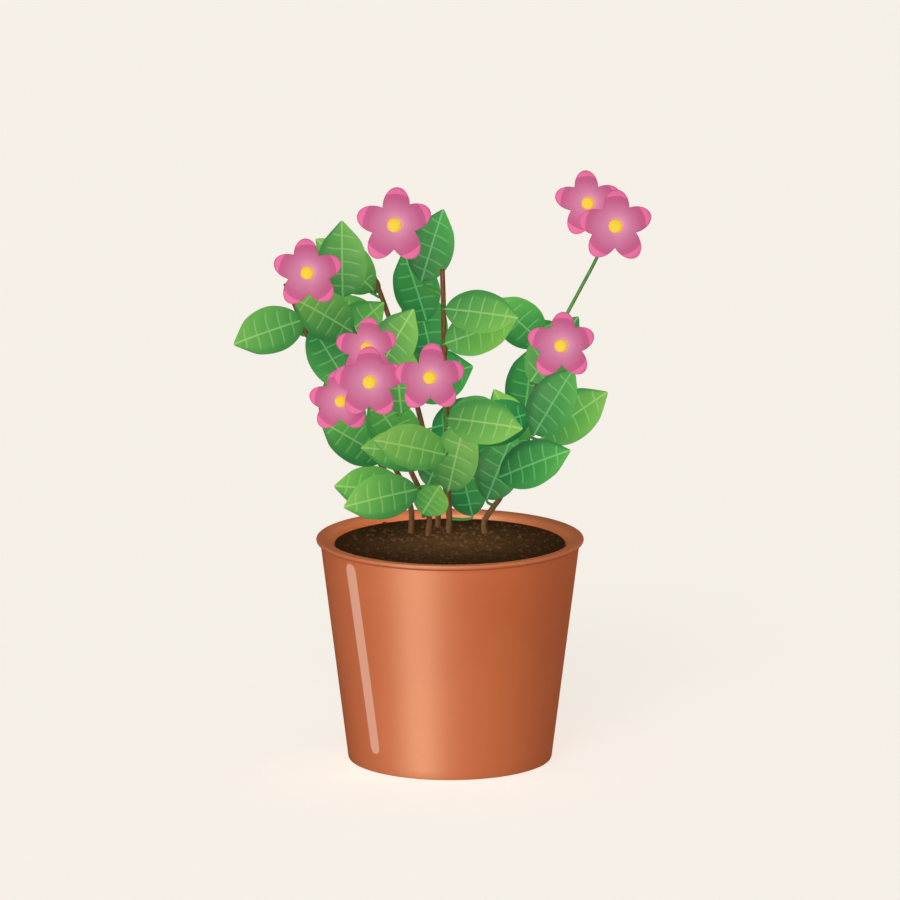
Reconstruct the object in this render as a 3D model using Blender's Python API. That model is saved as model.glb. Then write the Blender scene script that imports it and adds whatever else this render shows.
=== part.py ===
# A potted crossandra: terracotta pot, soil, six leafy stems and nine blooms.
# Metres, +Z up, origin at the centre of the pot's flat underside, front towards -Y.
#
# Places are written as seen from the front and a little above: across and rise in mm on that
# view's plane, measured from the origin, then depth in mm, positive behind the pot's axis.

import math

import bmesh
import bpy
from mathutils import Vector

MM = 0.001
VIEW_RISE = math.radians(12.5)  # how far above level the plant is looked at
VIEW_AWAY = 3000.0              # mm from the eye to the middle of the plant
VIEW_MIDDLE = 165.2             # mm, height of that middle on the axis
FULLNESS = 0.7                  # how much further apart in depth the crown is spread than its feet
FULL_DEPTH = (22.0, 40.0)       # mm, the depth that stays put, and the one past which no more is added
FULL_RISE = (125.0, 185.0)      # mm, where the spread starts and where it is whole

POT_HEIGHT = 118.0
POT_RIM_RADIUS = 70.0
POT_RIM_HEIGHT = 4.0
POT_RIM_WALL = 9.0
POT_BODY_TOP_RADIUS = 67.4
POT_BASE_RADIUS = 53.5
POT_WALL = 6.5
POT_FLOOR = 8.0
POT_SIDES = 36
DRAIN_RADIUS = 4.0
DRAIN_PLACE = 24.0
DRAINS = 3

GAP = 0.3                       # mm between pieces that touch
SOIL_TOP = 114.5
SOIL_BUMP = 0.9
SOIL_SIDES = 32
STEM_DEPTH = 9.0                # how deep a stem stands in the soil
HOLE_DEPTH = 12.0

BLADE_THICK = 0.8
BLADE_ARCH = 0.05               # of the blade's length
BLADE_FOLD = 0.13               # rise of each half from the midrib to the margin
BLADE_STATIONS = (0.0, 0.08, 0.24, 0.46, 0.70, 0.88, 1.0)
PETIOLE_HALF = 0.85
PETIOLE_STEPS = 2
LONG_PETIOLE = 7.0              # mm, past which a petiole takes one more step
STEM_SIDES = 6
STALK_SIDES = 5
FRONT_FACING = Vector((0.0, -math.cos(math.radians(24)), math.sin(math.radians(24))))
REAR_FACING = Vector((0.0, 0.35, 0.94))

PETAL_TURNS = (2.0, 72.0, 150.0, 206.0, 287.0)  # degrees clockwise from straight up
PETAL_LONG_HALF = 0.5           # each petal's ellipse, of the bloom's radius
PETAL_WIDE_HALF = 0.35
PETAL_STEPS = 6
COROLLA_THICK = 0.9
COROLLA_RINGS = (0.24, 0.62, 1.0)
TUBE_LENGTH = 5.0
TUBE_RADIUS = 1.4
EYE_REACH = 0.20
CALYX_LENGTH = 3.0
CALYX_RADIUS = 2.1
STALK_RADIUS = 0.8
BLOOM_TILT = math.radians(8)    # the blooms look a little above level

TERRACOTTA = ("terracotta", (0.55, 0.20, 0.095, 1), 0.6)
EARTH = ("soil", (0.050, 0.026, 0.013, 1), 0.95)
BARK = ("bark", (0.12, 0.060, 0.026, 1), 0.8)
LEAF = ("leaf", (0.085, 0.29, 0.062, 1), 0.5)
PETAL = ("petal", (0.62, 0.13, 0.27, 1), 0.55)
EYE = ("eye", (0.92, 0.62, 0.05, 1), 0.6)

# Each stem's line from its foot in the soil to its top, with the radius at the foot and the top.
STEMS = {
    "stem_far_left": (
        ((-13.5, 115, 27), (-20.5, 131, 24), (-28, 150, 21), (-51, 184.5, 17), (-73, 218, 14),
         (-80.5, 235, 12), (-86, 247.5, 10)), 1.6, 1.1),
    "stem_left": (
        ((-6.5, 114.5, 20), (-11.5, 130.5, 19), (-20.5, 150, 18), (-32.5, 178.5, 17),
         (-50, 222, 13), (-58, 240.5, 11.5), (-60.5, 246.5, 11)), 1.6, 1.1),
    "stem_inner_left": (
        ((-2.5, 119, 40), (-6.5, 131, 37), (-10, 150, 34), (-15.5, 177.5, 32),
         (-24, 206.5, 31), (-32.5, 232, 31), (-38.5, 248.5, 29), (-41.5, 255.5, 27)), 1.6, 1.2),
    "stem_centre": (
        ((0, 117.5, 30), (-0.5, 130.5, 26), (-1, 139, 24), (-1.5, 171, 17), (-2, 187, 14),
         (-3, 215.5, 9), (-3.5, 239, 7), (-4, 255, 6)), 1.7, 1.3),
    "stem_back": (
        ((0, 121, 48), (-0.5, 130.5, 46), (-1, 150, 43), (-1.5, 171, 41), (-2, 187, 39),
         (-5.5, 201.5, 37), (-10, 213, 36), (-13, 227.5, 35), (-15, 248.5, 33),
         (-20.5, 261, 31), (-24, 269, 26), (-27, 274, 13)), 1.6, 1.0),
    "stem_right": (
        ((12.5, 116, 26), (18, 124, 25), (23, 131.5, 24), (27, 137.5, 23), (34.5, 155.5, 21),
         (40.5, 172, 19.5), (44, 189.5, 18), (49.5, 207.5, 15), (54, 213, 6)), 1.7, 1.0),
}

# A side shoot of the far left stem carries the lowest bloom and three leaves.
SHOOTS = {
    "stem_far_left": (((-25, 144, 22.5), (-33.5, 150, 21), (-42, 160.5, 20), (-49, 172, 19),
                       (-53.5, 181.5, 16)), 1.2, 0.9),
}

# The tall flower stalk of the right stem, which forks under its two blooms.
STALKS = {
    "stem_right": ((49.5, 207, 15), (58, 226, 17), (67, 243, 16), (74, 256, 14), (80, 268, 8)),
}

# Leaves in front: the blade's foot, its tip and its width.
FRONT_LEAVES = {
    "stem_far_left": (
        ((-77, 228.5, 8), (-113, 216, 2), 24),
        ((-64.5, 210.5, 23), (-34.5, 238, 24), 24),
        ((-71.5, 225.5, 9), (-51, 191.5, 8), 24),
        ((-33.5, 155.8, 12), (-67.5, 175.8, 10), 24),
        ((-50, 162.5, 24), (-63.5, 200.5, 23), 24),
        ((-22, 138.5, 17), (-60.5, 142, 14), 24),
    ),
    "stem_left": (
        ((-49.5, 222, 2), (-81, 240.5, -4), 24),
        ((-56, 240, 8), (-56.5, 280.5, 0), 24),
        ((-16, 140.5, 10), (-55.5, 131, 4), 24),
        ((-19.5, 156, 13), (-42, 189.5, 6), 24),
        ((-24.5, 181, 4), (-29.5, 220, 12), 23),
        ((-38.5, 200, 4), (-19, 234.5, 0), 24),
        ((-15, 126.5, 12), (-5.2, 142.2, 18), 19),
    ),
    "stem_inner_left": (
        ((-39.5, 244, 16), (-70, 271, 10), 24),
        ((-38.5, 234.5, 31), (-75, 223.5, 31), 24),
        ((-11.5, 141.5, 31), (4.2, 177.3, 30), 24),
        ((-23.5, 192.5, 25), (12, 204.4, 23), 26),
        ((-11, 172.3, 25), (27.7, 181.7, 22), 24),
    ),
    "stem_centre": (
        ((-15, 248.5, 15), (-3.5, 286.5, 10), 24),
        ((-3.5, 235, -4), (36, 230, -8), 24),
        ((-3.5, 216, 2), (34.5, 228.5, -1), 24),
        ((-2, 177.5, -6), (38, 172, -11), 24),
        ((-1, 139, 5), (8.5, 178.5, -3), 24),
        ((-1.5, 158, -4), (-40, 166, -11), 24),
        ((-7, 154.5, 5), (-46.5, 162, -2), 24),
        ((-2, 172, 6), (28.5, 182, 3), 24),
    ),
    "stem_back": (
        ((-13, 227.5, 23), (-25, 265, 21), 24),
        ((-10, 208.5, 29), (-19.5, 248, 29), 24),
        ((12, 125.5, 39), (2.5, 164.5, 38), 24),
    ),
    "stem_right": (
        ((49.5, 215.5, 13), (22, 239.5, 12), 24),
        ((42.5, 197.5, 8), (67, 230.5, 6), 24),
        ((38.5, 175.5, 23), (43.5, 215, 22), 24),
        ((42, 172.5, 4), (65, 203.5, -2), 24),
        ((43, 180.5, 10), (7, 168, 5), 24),
        ((38.5, 159.5, 15), (23, 192.5, 13), 22),
        ((49.8, 166.8, 14), (82.3, 190.8, 10), 24),
        ((25.3, 145.8, 8), (62.8, 160.3, 0), 24),
        ((19, 134.5, 16), (34, 171.5, 9), 24),
        ((34.5, 154.5, 26), (9, 174.5, 31.5), 24),
    ),
}

# Leaves on the far side, which reach backwards.
REAR_LEAVES = {
    "stem_far_left": (
        ((-73, 217.5, 17), (-98, 219, 44), 23),
        ((-62.5, 203.5, 19), (-59, 221, 46), 23),
        ((-40.5, 168, 22), (-55, 168, 50), 23),
        ((-25, 141, 26), (-37.5, 141, 56), 23),
    ),
    "stem_inner_left": (
        ((-37, 241, 32), (-55, 255.5, 58), 23),
        ((-24, 205.5, 34), (-27, 220.5, 62), 23),
        ((-13.5, 166, 36), (-26, 160.5, 66), 23),
    ),
    "stem_back": (
        ((-15, 247, 36), (-7.5, 270.5, 60), 23),
        ((-12.5, 224.5, 39), (-20, 244, 66), 23),
        ((-8.5, 209.5, 40), (2.5, 223.5, 70), 23),
        ((-0.5, 171, 45), (10.5, 177.5, 74), 23),
        ((-0.5, 145, 47), (2.5, 158, 78), 23),
    ),
    "stem_right": (
        ((45, 191, 22), (49.5, 200, 50), 23),
        ((40, 170, 22), (57.5, 173.5, 52), 23),
        ((32.5, 151, 26), (26, 158, 56), 23),
        ((29.5, 143, 27), (47, 150, 52), 23),
        ((55, 220, 20), (38, 232.5, 45), 22),
    ),
}

# Blooms: the stem that carries each, its centre, its radius in mm, and where its stalk begins.
BLOOMS = {
    "bloom_top": ("stem_back", (-29, 278, -6), 20.1, (-27, 274, 13)),
    "bloom_left": ("stem_far_left", (-74.5, 253, -12), 18.3, (-84, 243, 11)),
    "bloom_high_right_rear": ("stem_right", (72, 289.5, 4), 17.5, (79, 266, 9)),
    "bloom_high_right": ("stem_right", (86.5, 277.5, -8), 19.3, (80, 268, 8)),
    "bloom_right": ("stem_right", (58, 215, -14), 18.0, (54, 213, 6)),
    "bloom_cluster_upper": ("stem_left", (-43.5, 214, -12), 16.2, (-42, 202, 16)),
    "bloom_cluster_front": ("stem_left", (-42, 196, -22), 18.8, (-39, 193, 17)),
    "bloom_cluster_low": ("stem_far_left", (-57, 186, -12), 16.7, (-53.5, 181.5, 16)),
    "bloom_centre": ("stem_centre", (-10.5, 199, -24), 18.3, (-2.2, 193, 13)),
}


def clear_scene():
    for old in list(bpy.data.objects):
        bpy.data.objects.remove(old, do_unlink=True)


def place(across, rise, depth):
    """The point that is seen at across and rise, at this depth, as the note at the top says.

    The crown's depths are spread by FULLNESS, which leaves what is in front of what as it is.
    """
    share = min(max((rise - FULL_RISE[0]) / (FULL_RISE[1] - FULL_RISE[0]), 0.0), 1.0)
    depth += FULLNESS * share * (min(depth, FULL_DEPTH[1]) - FULL_DEPTH[0])
    right = Vector((1, 0, 0))
    up = Vector((0, math.sin(VIEW_RISE), math.cos(VIEW_RISE)))
    away = Vector((0, math.cos(VIEW_RISE), -math.sin(VIEW_RISE)))
    middle = Vector((0, 0, VIEW_MIDDLE))
    eye = middle - away * VIEW_AWAY
    on_plane = middle + right * across + up * (rise - VIEW_MIDDLE * math.cos(VIEW_RISE))
    ray = on_plane - eye
    return eye + ray * ((depth - eye.y) / ray.y)


def smooth_line(points, steps):
    """Points along a Catmull-Rom curve through the given ones."""
    ends = [points[0] * 2 - points[1]] + list(points) + [points[-1] * 2 - points[-2]]
    line = []
    for a, b, c, d in zip(ends, ends[1:], ends[2:], ends[3:]):
        for step in range(steps):
            t = step / steps
            line.append((b * 2 + (c - a) * t + (a * 2 - b * 5 + c * 4 - d) * t ** 2
                         + (b * 3 - a - c * 3 + d) * t ** 3) * 0.5)
    return line + [points[-1]]


def nearest(line, point):
    return min(line, key=lambda other: (other - point).length)


def material(kind):
    name, colour, roughness = kind
    made = bpy.data.materials.get(name) or bpy.data.materials.new(name)
    made.use_nodes = True
    made.diffuse_color = colour
    shader = made.node_tree.nodes["Principled BSDF"]
    shader.inputs["Base Color"].default_value = colour
    shader.inputs["Roughness"].default_value = roughness
    shader.inputs["Metallic"].default_value = 0.0
    return made


def new_object(name, points, faces, kind):
    """An object from points in mm and faces, turned so that its faces point out."""
    mesh = bpy.data.meshes.new(name)
    mesh.from_pydata([tuple(Vector(p) * MM) for p in points], [], faces)
    shell = bmesh.new()
    shell.from_mesh(mesh)
    bmesh.ops.recalc_face_normals(shell, faces=shell.faces)
    shell.to_mesh(mesh)
    shell.free()
    made = bpy.data.objects.new(name, mesh)
    made.data.materials.append(material(kind))
    bpy.context.scene.collection.objects.link(made)
    return made


def ring_faces(rings, around):
    """Triangles that join rings of the same number of points, and close both ends."""
    faces = []
    for ring in range(rings - 1):
        for side in range(around):
            a = ring * around + side
            b = ring * around + (side + 1) % around
            faces += [(a, b, b + around), (a, b + around, a + around)]
    last = (rings - 1) * around
    for side in range(1, around - 1):
        faces += [(0, side + 1, side), (last, last + side, last + side + 1)]
    return faces


def tube(name, line, radii, sides, kind):
    """A tapering tube along a line of points."""
    points = []
    sideways = Vector((1, 0, 0))
    for index, centre in enumerate(line):
        before = line[max(index - 1, 0)]
        after = line[min(index + 1, len(line) - 1)]
        along = (after - before).normalized()
        across = (sideways - along * sideways.dot(along)).normalized()
        other = along.cross(across)
        radius = radii[0] + (radii[1] - radii[0]) * index / (len(line) - 1)
        for side in range(sides):
            angle = math.tau * side / sides
            points.append(centre + (across * math.cos(angle) + other * math.sin(angle)) * radius)
    return new_object(name, points, ring_faces(len(line), sides), kind)


def blade_share(t):
    """Half width of a blade as a share of its widest: ovate, with a broad pointed tip."""
    if t <= 0 or t >= 1:
        return 0.0
    rise = min(max((t - 0.6) / 0.4, 0.0), 1.0)
    return math.sin(math.pi * t) ** 0.62 * (1 - 0.2 * rise * rise * (3 - 2 * rise))


def leaf(name, root, foot, tip, width, facing):
    """One closed solid: a petiole from the stem, then a blade folded along its midrib.

    Each ring has six points: the left margin, midrib and right margin on top, and the same three
    below. Both faces are split into triangles alike.
    """
    along = (tip - foot).normalized()
    length = (tip - foot).length
    normal = (facing - along * facing.dot(along)).normalized()
    side = along.cross(normal)
    rows = []
    reach = foot + along * 1.2
    bend = foot - along * 2.0
    steps = PETIOLE_STEPS + ((reach - root).length > LONG_PETIOLE)
    for step in range(steps):
        t = step / steps
        centre = root * (1 - t) ** 2 + bend * 2 * t * (1 - t) + reach * t ** 2
        course = ((bend - root) * (1 - t) + (reach - bend) * t).normalized()
        beside = (side - course * side.dot(course)).normalized()
        rows.append((centre, beside, beside.cross(course), PETIOLE_HALF, 0.0, PETIOLE_HALF))
    for t in BLADE_STATIONS:
        half = max(width / 2 * blade_share(t), PETIOLE_HALF * (1 - t) + 0.12 * t)
        lift = BLADE_FOLD * max(half - PETIOLE_HALF, 0.0)
        centre = reach + (tip - reach) * t + normal * (BLADE_ARCH * length * 4 * t * (1 - t))
        rows.append((centre, side, normal, half, lift, max(BLADE_THICK / 2, PETIOLE_HALF - 4 * t)))
    points = []
    for centre, beside, above, half, lift, thick in rows:
        left = centre - beside * half + above * lift
        right = centre + beside * half + above * lift
        points += [left + above * thick, centre + above * thick, right + above * thick,
                   right - above * thick, centre - above * thick, left - above * thick]
    faces = []
    for row in range(len(rows) - 1):
        a = row * 6
        b = a + 6
        faces += [(a, a + 1, b + 1), (a, b + 1, b), (a + 1, a + 2, b + 2), (a + 1, b + 2, b + 1)]
        faces += [(a + 5, b + 4, a + 4), (a + 5, b + 5, b + 4)]
        faces += [(a + 4, b + 3, a + 3), (a + 4, b + 4, b + 3)]
        faces += [(a + 2, a + 3, b + 3), (a + 2, b + 3, b + 2)]
        faces += [(a + 5, a, b), (a + 5, b, b + 5)]
    last = (len(rows) - 1) * 6
    for end, turn in ((0, 1), (last, -1)):
        for corners in ((0, 5, 4), (0, 4, 1), (1, 4, 3), (1, 3, 2)):
            faces.append(tuple(end + corner for corner in corners[::turn]))
    return new_object(name, points, faces, LEAF)


def bloom_frame(centre):
    """The bloom's own up, right and forward directions, and its centre."""
    forward = Vector((0, -math.cos(VIEW_RISE + BLOOM_TILT), math.sin(VIEW_RISE + BLOOM_TILT)))
    right = Vector((1, 0, 0))
    return place(*centre), forward.cross(right), right, forward


def petal_outline():
    """Angles round the bloom and how far it reaches there, as a share of its radius.

    Each petal is an ellipse that starts at the bloom's middle.
    """
    outline = []
    count = len(PETAL_TURNS)
    for petal, turn in enumerate(PETAL_TURNS):
        before = (turn - PETAL_TURNS[petal - 1]) % 360 / 2
        after = (PETAL_TURNS[(petal + 1) % count] - turn) % 360 / 2
        for step in range(PETAL_STEPS):
            share = step / PETAL_STEPS * 2 - 1
            off = math.radians(share * (before if share < 0 else after))
            squash = PETAL_LONG_HALF / PETAL_WIDE_HALF
            reach = 2 * PETAL_LONG_HALF * math.cos(off)
            reach /= math.cos(off) ** 2 + (squash * math.sin(off)) ** 2
            outline.append((math.radians(turn) + off, reach))
    return outline


def corolla_height(share):
    """How far forward of its centre the corolla stands: a shallow throat, then petals that reflex."""
    return 0.13 * (1 - math.exp(-(share / 0.22) ** 2)) - 0.09 * share ** 2


def corolla(name, centre, radius):
    """Five broad petals joined inwards, with a short tube behind."""
    middle, up, right, forward = bloom_frame(centre)
    outline = petal_outline()
    around = len(outline)

    def point(angle, reach, height):
        return middle + (up * math.cos(angle) + right * math.sin(angle)) * reach + forward * height

    rings = []
    for share in COROLLA_RINGS:
        rings.append([point(a, r * share * radius, corolla_height(r * share) * radius)
                      for a, r in outline])
    for share in reversed(COROLLA_RINGS[1:]):
        rings.append([point(a, r * share * radius,
                            corolla_height(r * share) * radius - COROLLA_THICK)
                      for a, r in outline])
    back = -COROLLA_THICK - 0.8
    rings.append([point(a, TUBE_RADIUS, back) for a, r in outline])
    rings.append([point(a, TUBE_RADIUS, -TUBE_LENGTH) for a, r in outline])
    points = [p for ring in rings for p in ring]
    faces = []
    for ring in range(len(rings) - 1):
        for step in range(around):
            a = ring * around + step
            b = ring * around + (step + 1) % around
            faces += [(a, b, b + around), (a, b + around, a + around)]
    points += [middle, middle - forward * TUBE_LENGTH]
    last = (len(rings) - 1) * around
    for step in range(around):
        after = (step + 1) % around
        faces += [(len(points) - 2, after, step), (len(points) - 1, last + step, last + after)]
    return new_object(name, points, faces, PETAL)


def eye(name, centre, radius):
    """The yellow eye: a low dome just clear of the corolla."""
    middle, up, right, forward = bloom_frame(centre)
    reach = EYE_REACH * radius
    base = corolla_height(EYE_REACH * 1.15) * radius + GAP
    sides = 10
    points = []
    for share, height in ((0.92, 0.0), (1.0, 0.5), (0.62, 1.2)):
        for side in range(sides):
            angle = math.tau * side / sides
            points.append(middle + (up * math.cos(angle) + right * math.sin(angle)) * reach * share
                          + forward * (base + height))
    return new_object(name, points, ring_faces(3, sides), EYE)


def stalk(name, centre, start, line):
    """A flower stalk from its stem to the bloom, and the calyx that holds the corolla's tube."""
    middle, _, _, forward = bloom_frame(centre)
    seat = middle - forward * (TUBE_LENGTH + GAP)
    heel = seat - forward * CALYX_LENGTH
    root = nearest(line, place(*start))
    bend = heel - forward * min(8.0, (heel - root).length * 0.5)
    steps = [root * (1 - t) ** 2 + bend * 2 * t * (1 - t) + (heel + forward) * t ** 2
             for t in (step / 6 for step in range(7))]
    rod = tube(name + "_rod", steps, (STALK_RADIUS, STALK_RADIUS), STALK_SIDES, LEAF)
    cup = tube(name + "_cup", [heel, heel + forward * 1.4, seat],
               (STALK_RADIUS, CALYX_RADIUS), 8, LEAF)
    return [rod, cup]


def union(target, others):
    """Joins the others to the target in one Boolean, then removes them."""
    group = bpy.data.collections.new(target.name + "_repeats")
    bpy.context.scene.collection.children.link(group)
    for other in others:
        bpy.context.scene.collection.objects.unlink(other)
        group.objects.link(other)
    join = target.modifiers.new("join", "BOOLEAN")
    join.operation = "UNION"
    join.operand_type = "COLLECTION"
    join.collection = group
    join.solver = "EXACT"
    bpy.context.view_layer.update()
    graph = bpy.context.evaluated_depsgraph_get()
    joined = bpy.data.meshes.new_from_object(target.evaluated_get(graph))
    target.modifiers.clear()
    target.data = joined
    for other in others:
        bpy.data.objects.remove(other, do_unlink=True)
    bpy.data.collections.remove(group)


def cut(target, cutter):
    """Cuts one hole. The cutter stays out of the render."""
    cutter.hide_render = True
    cutter.display_type = "WIRE"
    hole = target.modifiers.new(cutter.name, "BOOLEAN")
    hole.operation = "DIFFERENCE"
    hole.object = cutter
    hole.solver = "EXACT"


def turned(name, profile, sides, kind):
    """A solid turned about the pot's axis from (radius, height) points that start and end on it."""
    shell = bmesh.new()
    steps = [shell.verts.new((radius * MM, 0, height * MM)) for radius, height in profile]
    edges = [shell.edges.new(pair) for pair in zip(steps, steps[1:])]
    bmesh.ops.spin(shell, geom=steps + edges, axis=(0, 0, 1), cent=(0, 0, 0),
                   angle=math.tau, steps=sides, use_merge=True)
    bmesh.ops.remove_doubles(shell, verts=shell.verts, dist=1e-6)
    bmesh.ops.triangulate(shell, faces=shell.faces)
    bmesh.ops.recalc_face_normals(shell, faces=shell.faces)
    mesh = bpy.data.meshes.new(name)
    shell.to_mesh(mesh)
    shell.free()
    mesh.materials.append(material(kind))
    mesh.shade_smooth()
    mesh.set_sharp_from_angle(angle=math.radians(35))
    made = bpy.data.objects.new(name, mesh)
    bpy.context.scene.collection.objects.link(made)
    return made


def inner_radius(height):
    """The pot's inside radius at this height, below its rim."""
    share = (height - POT_FLOOR) / (POT_HEIGHT - POT_FLOOR)
    low = POT_BASE_RADIUS - POT_WALL
    return low + (POT_RIM_RADIUS - POT_RIM_WALL - low) * share


def pot():
    under = POT_HEIGHT - POT_RIM_HEIGHT
    profile = [
        (0, 0), (POT_BASE_RADIUS - 1, 0), (POT_BASE_RADIUS, 1), (POT_BODY_TOP_RADIUS, under - 2),
        (POT_RIM_RADIUS - 1, under + 0.2), (POT_RIM_RADIUS - 0.2, under + 1.2),
        (POT_RIM_RADIUS, POT_HEIGHT - 1.6), (POT_RIM_RADIUS - 0.4, POT_HEIGHT - 0.6),
        (POT_RIM_RADIUS - 1.4, POT_HEIGHT), (POT_RIM_RADIUS - POT_RIM_WALL + 0.9, POT_HEIGHT),
        (POT_RIM_RADIUS - POT_RIM_WALL, POT_HEIGHT - 0.9),
        (inner_radius(POT_FLOOR), POT_FLOOR), (0, POT_FLOOR),
    ]
    made = turned("pot", profile, POT_SIDES, TERRACOTTA)
    for drain in range(DRAINS):
        angle = math.tau * drain / DRAINS + math.pi / 2
        bpy.ops.mesh.primitive_cylinder_add(
            vertices=12, radius=DRAIN_RADIUS * MM, depth=3 * POT_FLOOR * MM,
            location=(DRAIN_PLACE * MM * math.cos(angle), DRAIN_PLACE * MM * math.sin(angle),
                      POT_FLOOR / 2 * MM))
        hole = bpy.context.object
        hole.name = f"drain_{drain + 1}_cutter"
        cut(made, hole)
    return made


def soil(feet):
    """The soil fills the pot. Its top is crumbly relief, with a plain hole round each stem."""
    edge = POT_RIM_RADIUS - POT_RIM_WALL - GAP - 0.35
    low = POT_FLOOR + GAP
    rings = [0.0, 0.25, 0.5, 0.75, 1.0]
    profile = [(0, low), (inner_radius(low) - GAP, low), (inner_radius(60) - GAP, 60)]
    profile += [(edge * share, SOIL_TOP) for share in reversed(rings)]
    made = turned("soil", profile, SOIL_SIDES, EARTH)
    for vertex in made.data.vertices:
        x, y, z = vertex.co / MM
        inside = math.hypot(x, y) < edge * 0.95
        if z > SOIL_TOP - 1 and inside:
            bump = math.sin(0.31 * x + 1.3) * math.cos(0.27 * y - 0.6) + math.sin(0.53 * (x - y))
            vertex.co.z += SOIL_BUMP * MM * 0.5 * bump
    for name, (foot, radius) in feet.items():
        bpy.ops.mesh.primitive_cylinder_add(
            vertices=12, radius=(radius + 0.75) * MM, depth=2 * HOLE_DEPTH * MM,
            location=(foot.x * MM, foot.y * MM, SOIL_TOP * MM))
        hole = bpy.context.object
        hole.name = name + "_hole_cutter"
        cut(made, hole)
    return made


def leafy_stem(name):
    """One stem with its petioles, leaves, flower stalks and calyxes, as one body."""
    route, foot_radius, top_radius = STEMS[name]
    line = [place(*spot) for spot in route]
    above = [spot for spot in line if spot.z > SOIL_TOP + 3]
    foot = above[0].copy()
    foot.z = SOIL_TOP
    buried = Vector((foot.x, foot.y, SOIL_TOP - STEM_DEPTH))
    line = [buried, foot] + above
    body = tube(name, line, (foot_radius, top_radius), STEM_SIDES, BARK)
    repeats = []
    carriers = smooth_line([place(*spot) for spot in route], 12)
    if name in SHOOTS:
        shoot, low, high = SHOOTS[name]
        spots = [place(*spot) for spot in shoot]
        repeats.append(tube(name + "_shoot", spots, (low, high), STEM_SIDES, BARK))
        carriers += smooth_line([place(*spot) for spot in shoot], 12)
    if name in STALKS:
        spots = [place(*spot) for spot in STALKS[name]]
        repeats.append(tube(name + "_tall_stalk", spots, (1.0, 0.85), STALK_SIDES + 1, LEAF))
        carriers += smooth_line([place(*spot) for spot in STALKS[name]], 12)
    for number, (blade_foot, tip, width) in enumerate(FRONT_LEAVES[name]):
        start = place(*blade_foot)
        root = nearest(carriers, start - Vector((0, 0, 2.5)))
        repeats.append(leaf(f"{name}_leaf_{number}", root, start, place(*tip), width, FRONT_FACING))
    for number, (blade_foot, tip, width) in enumerate(REAR_LEAVES.get(name, ())):
        start = place(*blade_foot)
        root = nearest(carriers, start - Vector((0, 0, 1.5)))
        repeats.append(leaf(f"{name}_rear_{number}", root, start, place(*tip), width, REAR_FACING))
    for bloom, (carrier, centre, _, start) in BLOOMS.items():
        if carrier == name:
            repeats += stalk(bloom + "_stalk", centre, start, carriers)
    union(body, repeats)
    return foot, foot_radius


def main():
    clear_scene()
    pot()
    soil({name: leafy_stem(name) for name in STEMS})
    for name, (_, centre, radius, _) in BLOOMS.items():
        corolla(name, centre, radius)
        eye(name + "_eye", centre, radius)


main()
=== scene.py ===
import math

import bmesh
import bpy
import numpy as np
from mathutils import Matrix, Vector


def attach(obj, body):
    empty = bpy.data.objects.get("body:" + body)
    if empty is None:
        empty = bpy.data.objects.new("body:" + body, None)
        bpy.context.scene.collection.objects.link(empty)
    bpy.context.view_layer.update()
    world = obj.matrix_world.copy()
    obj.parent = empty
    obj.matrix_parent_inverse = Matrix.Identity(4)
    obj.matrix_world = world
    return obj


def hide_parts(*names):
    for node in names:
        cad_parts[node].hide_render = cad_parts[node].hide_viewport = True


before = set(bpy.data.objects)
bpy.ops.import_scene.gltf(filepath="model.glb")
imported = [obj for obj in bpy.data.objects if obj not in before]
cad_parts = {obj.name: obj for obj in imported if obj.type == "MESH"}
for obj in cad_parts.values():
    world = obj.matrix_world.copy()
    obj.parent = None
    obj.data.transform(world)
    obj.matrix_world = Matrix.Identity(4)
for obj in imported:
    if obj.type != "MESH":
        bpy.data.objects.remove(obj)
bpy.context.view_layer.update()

print("frame loaded:", len(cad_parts), "nodes")

# how the plant's spots were read: degrees above level, mm from the eye to the middle, mm up the axis to it
seenFrom = dict(rise=12.05, away=5000.0, middle=164.5)
# how far the crown is spread in depth, the depth that stays put and the last that counts, and the rises, in
# mm, where the spread starts and where it is whole
fullness = dict(share=0.7, about=22.0, most=40.0, starts=125.0, whole=185.0)


def unit(vectors):
    # each vector over its own length
    return vectors / np.maximum(np.linalg.norm(vectors, axis=-1, keepdims=True), 1e-9)


def placeSpots(spots):
    # (across, rise, depth) as seen in the picture: eye + ray * share, cut where the ray is at that depth. Each
    # depth first grows by share * (depth - about), more so higher up
    spots = np.array(spots, float).reshape(-1, 3)
    high = np.clip((spots[:, 1] - fullness["starts"]) / (fullness["whole"] - fullness["starts"]), 0, 1)
    spots[:, 2] += fullness["share"] * high * (np.minimum(spots[:, 2], fullness["most"]) - fullness["about"])
    tilt = math.radians(seenFrom["rise"])
    up = np.array([0, math.sin(tilt), math.cos(tilt)])
    away = np.array([0, math.cos(tilt), -math.sin(tilt)])
    middle = np.array([0, 0, seenFrom["middle"]])
    eye = middle - away * seenFrom["away"]
    height = spots[:, 1:2] - seenFrom["middle"] * math.cos(tilt)
    ray = middle + spots[:, :1] * np.array([1.0, 0, 0]) + height * up - eye
    return eye + ray * ((spots[:, 2] - eye[1]) / ray[:, 1])[:, None]


def smoothLine(points, steps):
    # Catmull-Rom: each stretch is a cubic through its two ends, leaning as its neighbours do
    ends = np.vstack([points[0] * 2 - points[1], points, points[-1] * 2 - points[-2]])
    a, b, c, d = ends[:-3, None], ends[1:-2, None], ends[2:-1, None], ends[3:, None]
    t = (np.arange(steps) / steps)[None, :, None]
    line = (b * 2 + (c - a) * t + (a * 2 - b * 5 + c * 4 - d) * t ** 2 + (b * 3 - a - c * 3 + d) * t ** 3) / 2
    return np.vstack([line.reshape(-1, 3), points[-1]])


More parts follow.
